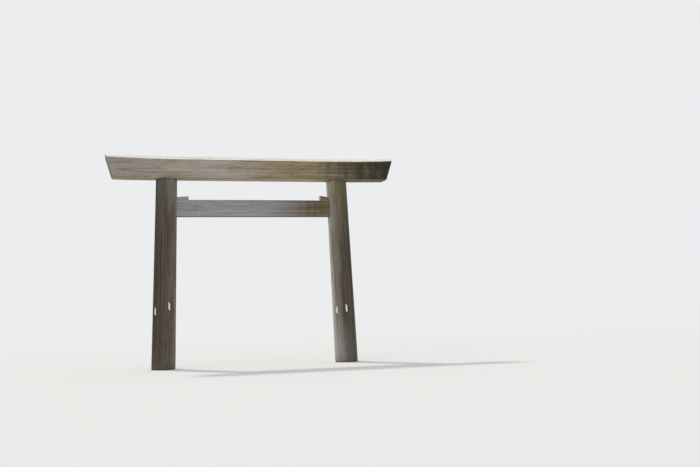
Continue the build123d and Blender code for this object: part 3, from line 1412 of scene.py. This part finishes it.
def beam_mesh(sizes):
    """The tie beam with checks along its faces."""

    def corners_at(station):
        return upright_section(station, BEAM_LOW, BEAM_HIGH, BEAM_HIGH.z)

    lengths = face_lengths(corners_at(0.0), sizes.arris)
    checks = draw_checks(
        seed=19,
        faces=check_room(lengths, (1, 3, 5, 7), margin=0.04),
        number=18,
        along_low=BEAM_LOW.x - 0.5,
        along_high=BEAM_HIGH.x + 0.5,
        width=0.007,
        depth=0.014,
        lengths=(0.10, 0.5),
    )
    return timber_mesh(
        "tie_beam_timber",
        stations=spaced(BEAM_LOW.x, BEAM_HIGH.x, sizes.rows),
        columns=spread_columns(lengths, sizes.spacing, checks),
        surface=faceted_surface(corners_at, lengths, sizes.arris),
        local=place_from(heart_y=-0.05, heart_z=4.90, shift=-23.0),
        relief=faceted_relief(
            lengths,
            edge_width=0.022,
            worn_scale=(4.0, 9.0, 9.0),
            worn_depth=0.005,
            hewn_scale=(0.9, 6.0, 6.0),
            hewn_depth=0.0015,
        ),
    )


class GATE_OT_tie_beam(bpy.types.Operator):
    """Build the weathered tie beam"""

    bl_idname = "gate.tie_beam"
    bl_label = "Tie beam"

    def execute(self, context):
        settings = context.scene.gate
        sizes = settings.beam
        material = timber_material(
            "beam_timber",
            settings.timber,
            colours={"grey": sizes.grey, "shelter": sizes.shelter},
            brightness=[along_gate(0.2, 1.9, 1.0, 0.82)],
            greying=[along_gate(-0.4, 2.0, 0.60, 0.10)],
            streaks=[along_gate(0.4, 2.6, 0.10, 0.60)],
            streak_top=BEAM_HIGH.z,
            streak_reach=0.8,
            green=[along_gate(0.0, 2.4, 0.05, 0.35)],
        )
        add_piece(beam_mesh(sizes), material, "tie_beam")
        return {"FINISHED"}


def wedge_mesh(side_name, sizes):
    """One wedge, with its corners worn and its butt bruised from driving."""
    side = SIDES[side_name]
    node = f"wedge_{side_name}"
    low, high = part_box(node)
    butt, tip = (high.x, low.x) if side < 0 else (low.x, high.x)
    tip_top = max(point.z for point in vertices_at(node, ALONG_AXIS, tip))

    def corners_at(station):
        place = butt + (tip - butt) * station
        top = high.z + (tip_top - high.z) * station
        return upright_section(place, low, high, top)

    lengths = face_lengths(corners_at(0.0), sizes.wedge_arris)
    checks = draw_checks(
        seed=WEDGE_SEEDS[side_name],
        faces=check_room(lengths, (3, 5, 7), margin=0.02),
        number=5,
        along_low=-0.3,
        along_high=0.8,
        width=0.004,
        depth=0.008,
        lengths=(0.4, 0.9),
    )
    return timber_mesh(
        f"{node}_timber",
        stations=BUTT_STATIONS + spaced(FIRST_ROW, 1.0, WEDGE_ROWS),
        columns=spread_columns(lengths, WEDGE_SPACING, checks),
        surface=faceted_surface(corners_at, lengths, sizes.wedge_arris, sunk_stations=(0.0,)),
        local=place_from(heart_y=-0.11, heart_z=low.z - 0.05, shift=12.0 * side),
        relief=faceted_relief(
            lengths, edge_width=0.012, worn_scale=(14.0, 20.0, 20.0), worn_depth=0.003
        ),
        along=lambda station: station * abs(tip - butt),
    )


class GATE_OT_wedges(bpy.types.Operator):
    """Build the two wedges over the tie beam"""

    bl_idname = "gate.wedges"
    bl_label = "Wedges"

    def execute(self, context):
        settings = context.scene.gate
        timber = settings.timber
        material = timber_material(
            "wedge_timber",
            timber,
            # The wedges' cut ends take the bleached colour: pale end grain with a painted sunlit
            # highlight
            colours={"grey": settings.beam.grey, "heart": timber.bleach, "stain": timber.heart},
            brightness=[along_gate(0.6, 2.4, 1.0, 0.78)],
            greying=[along_gate(0.2, 2.3, 0.62, 0.10)],
            streaks=0.1,
            green=0.05,
        )
        for side_name in SIDES:
            mesh = wedge_mesh(side_name, settings.beam)
            add_piece(mesh, material, f"wedge_{side_name}")
        return {"FINISHED"}


# Pegs

PEG_INSIDE = 0.020
PEG_OUTSIDE = 0.034
PEG_HEAD = 0.006
PEG_HEAD_WIDTH = 1.55
PEG_ARRIS = 0.09
PEG_SPACING = 0.003
PEG_SHARP_ANGLE = math.radians(40)

# The half widths along a peg, as shares of the shaft's and of the head's, by the distance out
PEG_HEAD_END = PEG_OUTSIDE + PEG_HEAD
PEG_SHAFT = {-PEG_INSIDE: 1.0, 0.010: 0.99, 0.022: 0.97, PEG_OUTSIDE - 0.0004: 0.98}
PEG_TOP = {
    PEG_OUTSIDE: 0.97,
    PEG_OUTSIDE + 0.0015: 1.0,
    PEG_HEAD_END - 0.0012: 0.97,
    PEG_HEAD_END - 0.0002: 0.86,
}

# The corners of a square section, as shares of its half width
SQUARE = ((-1, -1), (1, -1), (1, 1), (-1, 1))


def hangers():
    """Side, face and spot of each streamer."""
    return [f"{side}_{face}_{spot}" for side in SIDES for face in FACES for spot in SPOTS]


def peg_frame(ending):
    """Axes where a peg leaves its post: X across it, Y up and Z out of the post."""
    points = [vertex.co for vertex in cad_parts[f"peg_{ending}"].data.vertices]
    middle = sum(points, Vector()) / len(points)
    side = 1 if middle.x > 0 else -1
    heart = Vector((side * post_axis(middle.z), 0.0, middle.z))
    out = (middle - heart).normalized()
    sideways = Vector((-out.y, out.x, 0.0))
    axes = Matrix((sideways, out.cross(sideways), out)).transposed()
    return Matrix.Translation(heart + out * post_radius(middle.z)) @ axes.to_4x4()


def peg_mesh(ending, sizes):
    """A square whittled peg with a small head, made along X and then turned to its place."""
    half = sizes.peg_width / 2
    half_widths = {distance: half * share for distance, share in PEG_SHAFT.items()}
    for distance, share in PEG_TOP.items():
        half_widths[distance] = half * PEG_HEAD_WIDTH * share

    def corners_at(station):
        width = half_widths[station]
        return [Vector((station, y * width, z * width)) for y, z in SQUARE]

    def local(point):
        return point.y, point.z, point.x

    def relief(point, face, place):
        own = point + Vector((len(ending), ord(ending[0]), 0.0))
        return ripple(own, scale=(60.0, 160.0, 160.0), depth=0.0005), 0.0

    arris = sizes.peg_width * PEG_ARRIS
    lengths = face_lengths(corners_at(-PEG_INSIDE), arris)
    mesh = timber_mesh(
        f"peg_{ending}_timber",
        stations=list(half_widths),
        columns=spread_columns(lengths, PEG_SPACING, []),
        surface=faceted_surface(corners_at, lengths, arris),
        local=local,
        relief=relief,
        end_depth=0.0,
    )
    x_to_z = Matrix(((0, 1, 0), (0, 0, 1), (1, 0, 0))).to_4x4()
    mesh.transform(peg_frame(ending) @ x_to_z)
    mesh.set_sharp_from_angle(angle=PEG_SHARP_ANGLE)
    return mesh


class GATE_OT_pegs(bpy.types.Operator):
    """Whittle the pegs that hold the streamers"""

    bl_idname = "gate.pegs"
    bl_label = "Pegs"

    def execute(self, context):
        settings = context.scene.gate
        material = timber_material(
            "peg_timber", settings.timber, greying=0.1, streaks=0.0, green=0.0
        )
        for ending in hangers():
            mesh = peg_mesh(ending, settings.paper)
            add_piece(mesh, material, f"peg_{ending}")
        return {"FINISHED"}


# Cord

STRAND_ROWS = 96
STRAND_SIDES = 8
STRAND_PHASES = (0.0, 0.5)
STRAND_TWISTS = 6.5

# Shares of the cord's diameter
STRAND_RADIUS = 0.27
STRAND_OFFSET = 0.235
TURN_PITCH = 1.06

# Where the cord starts, how far it goes and where it crosses to its second turn, in turns
CORD_FIRST = 0.09
CORD_TURNS = 1.82
CROSSING_FIRST = 0.92
CROSSING_LENGTH = 0.16

# Higher makes the turns squarer
WINDING_POWER = 5


def winding_point(turn, sizes):
    """Middle of the cord at a turn round the peg, and the direction away from the peg."""
    reach = sizes.peg_width / 2 + sizes.cord_diameter / 2
    direction = 2 * math.pi * turn - math.pi / 2
    away = Vector((math.cos(direction), math.sin(direction), 0.0))
    powers = abs(math.cos(direction)) ** WINDING_POWER + abs(math.sin(direction)) ** WINDING_POWER
    squareness = powers ** (-1 / WINDING_POWER)
    step = min(1.0, max(0.0, (turn - CROSSING_FIRST) / CROSSING_LENGTH))
    crossed = step * step * (3 - 2 * step)
    along = sizes.cord_start + sizes.cord_diameter * (0.5 + crossed * TURN_PITCH)
    return away * reach * squareness + Vector((0.0, 0.0, along)), away


def add_strand(points, faces, sizes, phase):
    """Adds one strand of the twisted cord to lists of points and faces."""
    radius = sizes.cord_diameter * STRAND_RADIUS
    offset = sizes.cord_diameter * STRAND_OFFSET
    outward = Vector((0.0, 0.0, 1.0))
    first = len(points)
    for number in range(STRAND_ROWS):
        turn = CORD_FIRST + CORD_TURNS * number / (STRAND_ROWS - 1)
        middle, away = winding_point(turn, sizes)
        twist = 2 * math.pi * (turn * STRAND_TWISTS + phase)
        centre = middle + (away * math.cos(twist) + outward * math.sin(twist)) * offset
        for step in range(STRAND_SIDES):
            bearing = 2 * math.pi * step / STRAND_SIDES
            spoke = away * math.cos(bearing) + outward * math.sin(bearing)
            points.append(centre + spoke * radius)
    last = first + (STRAND_ROWS - 1) * STRAND_SIDES
    for low in range(first, last, STRAND_SIDES):
        faces += ring_faces(low, low + STRAND_SIDES, STRAND_SIDES)
    faces.append(tuple(range(first, first + STRAND_SIDES))[::-1])
    faces.append(tuple(range(last, last + STRAND_SIDES)))


def cord_mesh(ending, sizes):
    """Two turns of two-strand cord round a peg, in front of the paper."""
    points = []
    faces = []
    for phase in STRAND_PHASES:
        add_strand(points, faces, sizes, phase)
    mesh = bpy.data.meshes.new(f"cord_{ending}_twist")
    mesh.from_pydata(points, [], faces)
    mesh.transform(peg_frame(ending))
    mesh.shade_smooth()
    return mesh


class GATE_OT_cords(bpy.types.Operator):
    """Wind the cord round the pegs"""

    bl_idname = "gate.cords"
    bl_label = "Cords"

    def execute(self, context):
        sizes = context.scene.gate.paper
        material = cord_material(sizes.straw)
        for ending in hangers():
            add_piece(cord_mesh(ending, sizes), material, f"cord_{ending}")
        return {"FINISHED"}


# Folded paper

PANELS = 4
PAPER_BACK = 0.0144
PAPER_LAYER = 0.0008
SLOT_CLEARANCE = 0.0003
FOLD_SHADE_WIDTH = 0.003
PAPER_SHARP_ANGLE = math.radians(50)

# How the strip stands off, curls across and swings sideways over its drop
STRIP_DROP = 0.22
STRIP_LIFT = 0.0028
STRIP_CURL = 0.0006
STRIP_SWING = 0.004

# Steps through the noise for the letters of a streamer's name, so that not all swing alike
NAME_STEP = 1.7
LETTER_STEP = 0.3

# Columns of points on each side of the slot, as shares of half the strip's width
LEFT_COLUMNS = (-1.0, -0.6, -0.25)
RIGHT_COLUMNS = (0.8, 1.0)

# Distances of the rows of points from the top of a panel, from a fold and below the slot
FOLD_ROW = 0.0008
TURN_ROW = 0.004
PANEL_ROWS = (FOLD_ROW, TURN_ROW, 0.012, 0.024, 0.036, 0.048, 0.058)
FIRST_PANEL_ROWS = (0.030, 0.040, 0.050, 0.058)


def strip_point(across_strip, along_strip, sizes, sway):
    """Where a point of the flat strip lies once it is folded and hung, and how far a fold is."""
    panel = sizes.panel_length
    back = sizes.fold_overlap
    number = min(PANELS - 1, int(along_strip / (panel + back)))
    past = along_strip - number * (panel + back)
    top = sizes.slot_below_top - number * (panel - back)
    shift = sizes.panel_shift / 2 * (-1 if number % 2 == 0 else 1)
    if past <= panel:
        height = top - past
        place = shift
        layer = 2 * (number % 2)
    else:
        share = (past - panel) / back
        height = top - panel + past - panel
        place = shift * (1 - 2 * share)
        layer = 1
    fold_distance = min(abs(past - panel), past if number else 1.0, abs(past - panel - back))
    hang = max(0.0, -height) / STRIP_DROP
    curl = STRIP_CURL * (across_strip / (sizes.strip_width / 2)) ** 2 * hang
    out = PAPER_BACK + PAPER_LAYER * layer + STRIP_LIFT * hang**2 + curl
    return Vector((across_strip + place + sway * hang**2, height, out)), fold_distance


def strip_rows(sizes, slot):
    """Distances down the flat strip at which it has a row of points."""
    panel = sizes.panel_length
    back = sizes.fold_overlap
    middle = sizes.slot_below_top
    rows = [0.0, middle - slot, middle, middle + slot, *FIRST_PANEL_ROWS]
    for number in range(PANELS):
        start = number * (panel + back)
        if number:
            rows += [start + value for value in PANEL_ROWS]
        rows += [start + panel - FOLD_ROW, start + panel]
        if number < PANELS - 1:
            rows += [start + panel + value for value in (FOLD_ROW, TURN_ROW, back - FOLD_ROW, back)]
    return sorted(rows)


def inside(low, high, middle, reach):
    """True where a stretch from low to high lies in the slot."""
    return low >= middle - reach and high <= middle + reach


def streamer_mesh(ending, sizes):
    """A paper strip folded to and fro, with a square slot for the peg."""
    half = sizes.strip_width / 2
    slot = sizes.peg_width / 2 + SLOT_CLEARANCE
    centre = sizes.panel_shift / 2
    columns = [half * share for share in LEFT_COLUMNS]
    columns += [centre - slot, centre, centre + slot]
    columns += [half * share for share in RIGHT_COLUMNS]
    rows = strip_rows(sizes, slot)
    letters = [ord(ending[number]) * LETTER_STEP for number in (-1, 0)]
    sway = STRIP_SWING * noise.noise(Vector((len(ending) * NAME_STEP, *letters)))
    points = []
    # How near each point is to a fold, for the painted shade along the folds
    fold_shade_values = []
    for along_strip in rows:
        for across_strip in columns:
            point, fold_distance = strip_point(across_strip, along_strip, sizes, sway)
            points.append(point)
            fold_shade_values.append(max(0.0, 1.0 - fold_distance / FOLD_SHADE_WIDTH))
    width = len(columns)
    faces = []
    for row in range(len(rows) - 1):
        slot_row = inside(rows[row], rows[row + 1], sizes.slot_below_top, slot)
        for number in range(width - 1):
            if slot_row and inside(columns[number], columns[number + 1], centre, slot):
                continue
            low = row * width + number
            faces.append((low, low + width, low + width + 1, low + 1))
    mesh = bpy.data.meshes.new(f"streamer_{ending}_paper")
    mesh.from_pydata(points, [], faces)
    mesh.attributes.new("crease", "FLOAT", "POINT").data.foreach_set("value", fold_shade_values)
    mesh.transform(peg_frame(ending))
    mesh.shade_smooth()
    mesh.set_sharp_from_angle(angle=PAPER_SHARP_ANGLE)
    return mesh


class GATE_OT_streamers(bpy.types.Operator):
    """Fold the paper streamers and hang them on their pegs"""

    bl_idname = "gate.streamers"
    bl_label = "Streamers"

    def execute(self, context):
        sizes = context.scene.gate.paper
        material = paper_material(sizes.white)
        for ending in hangers():
            mesh = streamer_mesh(ending, sizes)
            piece = add_piece(mesh, material, f"streamer_{ending}")
            thick = piece.modifiers.new("thickness", "SOLIDIFY")
            thick.thickness = sizes.thickness
            thick.offset = 0.0
        return {"FINISHED"}


# Stage

FLOOR_RADIUS = 160.0
FLOOR_POINTS = 96
FADE_START = 14.0
FADE_END = 60.0
SENSOR_WIDTH = 36.0
VIEW_END = 400.0

# Directions towards the two lamps, how wide each looks, and their colours
SUN_PLACE = (-0.26, 0.56, 0.78)
SUN_WIDTH = math.radians(6)
SUN_COLOUR = (1.0, 0.98, 0.95)
FILL_PLACE = (-0.62, -0.70, 0.35)
FILL_WIDTH = math.radians(50)
WHITE = (1.0, 1.0, 1.0)


def seen_rays(bench):
    """1 for the rays that show the background: from the camera, mirrored or let through."""
    rays = bench.node("ShaderNodeLightPath").outputs
    shown = [rays[f"Is {kind} Ray"] for kind in ("Camera", "Glossy", "Transmission")]
    return bench.math("MAXIMUM", *shown)


def floor_material(stage):
    """A pale floor that fades into the background far from the gate, seen from above only."""
    material, bench, shader = new_material("pale_floor")
    shader.inputs["Base Color"].default_value = opaque(stage.floor)
    shader.inputs["Roughness"].default_value = 0.9
    shader.inputs["Specular IOR Level"].default_value = 0.1
    away = bench.distance(bench.object_place())
    seen = bench.times(bench.spread(away, FADE_START, FADE_END), seen_rays(bench))
    shown = {"Color": opaque(stage.background), "Strength": 1.0}
    glow = bench.node("ShaderNodeEmission", shown)
    faded = {0: seen, 1: shader.outputs[0], 2: glow.outputs[0]}
    blend = bench.node("ShaderNodeMixShader", faded)
    below = bench.node("ShaderNodeNewGeometry").outputs["Backfacing"]
    clear = bench.node("ShaderNodeBsdfTransparent")
    both = {0: below, 1: blend.outputs[0], 2: clear.outputs[0]}
    one_sided = bench.node("ShaderNodeMixShader", both)
    output = next(node for node in bench.tree.nodes if node.type == "OUTPUT_MATERIAL")
    bench.feed(output.inputs["Surface"], one_sided.outputs[0])
    return material


def build_floor(stage):
    """A wide round floor under the gate."""
    rim = []
    for number in range(FLOOR_POINTS):
        turn = 2 * math.pi * number / FLOOR_POINTS
        rim.append((FLOOR_RADIUS * math.cos(turn), FLOOR_RADIUS * math.sin(turn), 0.0))
    mesh = bpy.data.meshes.new("floor")
    mesh.from_pydata(rim, [], [tuple(range(FLOOR_POINTS))])
    mesh.materials.append(floor_material(stage))
    floor = bpy.data.objects.new("floor", mesh)
    bpy.context.scene.collection.objects.link(floor)


def build_sky(stage):
    """Even light from all round, and a plain background."""
    world = bpy.data.worlds.new("even_sky")
    bpy.context.scene.world = world
    world.use_nodes = True
    world.node_tree.nodes.clear()
    bench = Bench(world.node_tree)
    even = {"Color": opaque(WHITE), "Strength": stage.sky_strength}
    light = bench.node("ShaderNodeBackground", even)
    plain = {"Color": opaque(stage.background), "Strength": 1.0}
    shown = bench.node("ShaderNodeBackground", plain)
    both = {0: seen_rays(bench), 1: light.outputs[0], 2: shown.outputs[0]}
    blend = bench.node("ShaderNodeMixShader", both)
    bench.node("ShaderNodeOutputWorld", {"Surface": blend.outputs[0]})


def add_sun(name, energy, towards_light, width, colour_value):
    """A broad distant lamp."""
    lamp = bpy.data.lights.new(name, "SUN")
    lamp.energy = energy
    lamp.angle = width
    lamp.color = colour_value
    holder = bpy.data.objects.new(name, lamp)
    holder.rotation_euler = Vector(towards_light).to_track_quat("Z", "Y").to_euler()
    bpy.context.scene.collection.objects.link(holder)


def build_camera(stage):
    """The camera, standing and turned as in the photograph."""
    turn = stage.camera_turn
    lift = stage.camera_lift
    roll = stage.camera_roll
    flat = math.cos(lift)
    ahead = Vector((math.sin(turn) * flat, math.cos(turn) * flat, math.sin(lift)))
    level = Vector((math.cos(turn), -math.sin(turn), 0.0))
    upright = level.cross(ahead)
    right = level * math.cos(roll) + upright * math.sin(roll)
    up = upright * math.cos(roll) - level * math.sin(roll)
    axes = Matrix((right, up, -ahead)).transposed()
    data = bpy.data.cameras.new("camera")
    data.lens = stage.lens
    data.sensor_width = SENSOR_WIDTH
    data.clip_end = VIEW_END
    camera = bpy.data.objects.new("camera", data)
    camera.matrix_world = Matrix.Translation(stage.camera_place) @ axes.to_4x4()
    bpy.context.scene.collection.objects.link(camera)
    bpy.context.scene.camera = camera


class GATE_OT_stage(bpy.types.Operator):
    """Set the camera, the floor and the light"""

    bl_idname = "gate.stage"
    bl_label = "Stage"

    def execute(self, context):
        stage = context.scene.gate.stage
        context.scene.view_settings.view_transform = "Standard"
        build_camera(stage)
        build_floor(stage)
        build_sky(stage)
        add_sun("sun_behind", stage.sun_strength, SUN_PLACE, SUN_WIDTH, SUN_COLOUR)
        add_sun("fill_front", stage.fill_strength, FILL_PLACE, FILL_WIDTH, WHITE)
        return {"FINISHED"}


class GATE_PT_panel(bpy.types.Panel):
    """The gate's pieces and settings"""

    bl_label = "Timber shrine gate"
    bl_idname = "GATE_PT_panel"
    bl_space_type = "VIEW_3D"
    bl_region_type = "UI"
    bl_category = "Gate"

    def draw(self, context):
        for operator in OPERATORS:
            self.layout.operator(operator.bl_idname)
        settings = context.scene.gate
        for name in settings.__annotations__:
            group = getattr(settings, name)
            box = self.layout.box()
            for key in group.__annotations__:
                box.prop(group, key)


GROUPS = (TimberLook, PostSizes, LintelSizes, BeamSizes, PaperSizes, StageLook, GateSettings)
OPERATORS = (
    GATE_OT_posts,
    GATE_OT_lintel,
    GATE_OT_tie_beam,
    GATE_OT_wedges,
    GATE_OT_pegs,
    GATE_OT_cords,
    GATE_OT_streamers,
    GATE_OT_stage,
)


def register():
    """Registers the settings, the operators and the panel."""
    for item in (*GROUPS, *OPERATORS, GATE_PT_panel):
        bpy.utils.register_class(item)
    bpy.types.Scene.gate = PointerProperty(type=GateSettings)


def unregister():
    """Removes what register added."""
    del bpy.types.Scene.gate
    for item in reversed((*GROUPS, *OPERATORS, GATE_PT_panel)):
        bpy.utils.unregister_class(item)


def main():
    """Builds the whole gate and its stage."""
    register()
    bpy.ops.gate.posts()
    bpy.ops.gate.lintel()
    bpy.ops.gate.tie_beam()
    bpy.ops.gate.wedges()
    bpy.ops.gate.pegs()
    bpy.ops.gate.cords()
    bpy.ops.gate.streamers()
    bpy.ops.gate.stage()


if __name__ == "__main__":
    main()
